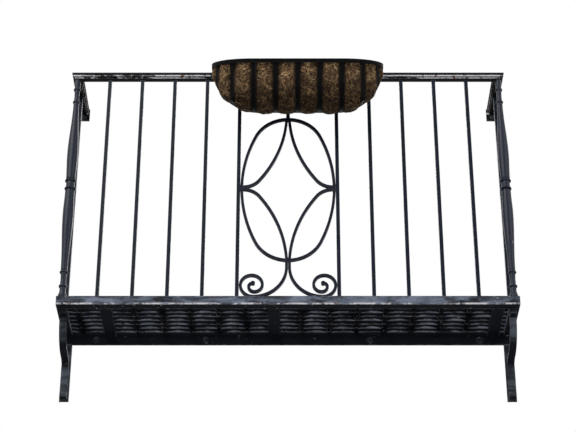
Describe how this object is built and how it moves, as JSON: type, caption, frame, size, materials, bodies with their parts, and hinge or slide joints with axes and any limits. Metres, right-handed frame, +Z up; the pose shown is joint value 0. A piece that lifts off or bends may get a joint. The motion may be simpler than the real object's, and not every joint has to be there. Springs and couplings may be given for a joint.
{
  "type": "juliet balcony",
  "caption": "Shallow wall-hung iron juliet balcony with a slatted floor, plain balusters, oval star ornament, turned corner posts, scroll brackets and a lined planter basket.",
  "frame": {"origin": "centre of the wall ledger's flat back face, on the wall", "axes": "+X along the wall to the right as seen from outside, +Y into the wall, +Z up; the balcony stands out towards -Y"},
  "size_m": [1.558, 0.4518, 1.1953],
  "materials": {
    "rail_paint": "worn gloss paint, nearly black with a blue cast",
    "iron_paint": "gloss paint over wrought iron, nearly black",
    "floor_paint": "dull weathered paint, dark grey",
    "basket_paint": "satin black coating",
    "coir": "rough brown coir fibre mat"
  },
  "bodies": {
    "root": {"handrail_front": "rail_paint", "handrail_left": "rail_paint", "handrail_right": "rail_paint", "under_bar_front": "rail_paint", "under_bar_left": "rail_paint", "under_bar_right": "rail_paint", "rail_flange_left": "iron_paint", "rail_flange_right": "iron_paint", "post_left": "iron_paint", "post_right": "iron_paint", "baluster_left_1": "iron_paint", "baluster_left_2": "iron_paint", "baluster_left_3": "iron_paint", "baluster_left_4": "iron_paint", "baluster_left_5": "iron_paint", "baluster_right_1": "iron_paint", "baluster_right_2": "iron_paint", "baluster_right_3": "iron_paint", "baluster_right_4": "iron_paint", "baluster_right_5": "iron_paint", "side_baluster_left": "iron_paint", "side_baluster_right": "iron_paint", "centre_stem": "iron_paint", "ornament_ring": "iron_paint", "star_arc_upper_left": "iron_paint", "star_arc_upper_right": "iron_paint", "star_arc_lower_left": "iron_paint", "star_arc_lower_right": "iron_paint", "scroll_left": "iron_paint", "scroll_right": "iron_paint", "floor_front_bar": "floor_paint", "floor_side_bar_left": "floor_paint", "floor_side_bar_right": "floor_paint", "wall_ledger": "floor_paint", "floor_grating": "floor_paint", "floor_bearers": "floor_paint", "bracket_wall_bar_left": "iron_paint", "bracket_wall_bar_right": "iron_paint", "bracket_brace_left": "iron_paint", "bracket_brace_right": "iron_paint", "basket_rim": "basket_paint", "basket_ribs": "basket_paint", "basket_back_frame": "basket_paint", "basket_hooks": "basket_paint", "coir_liner": "coir"}
  },
  "joints": []
}
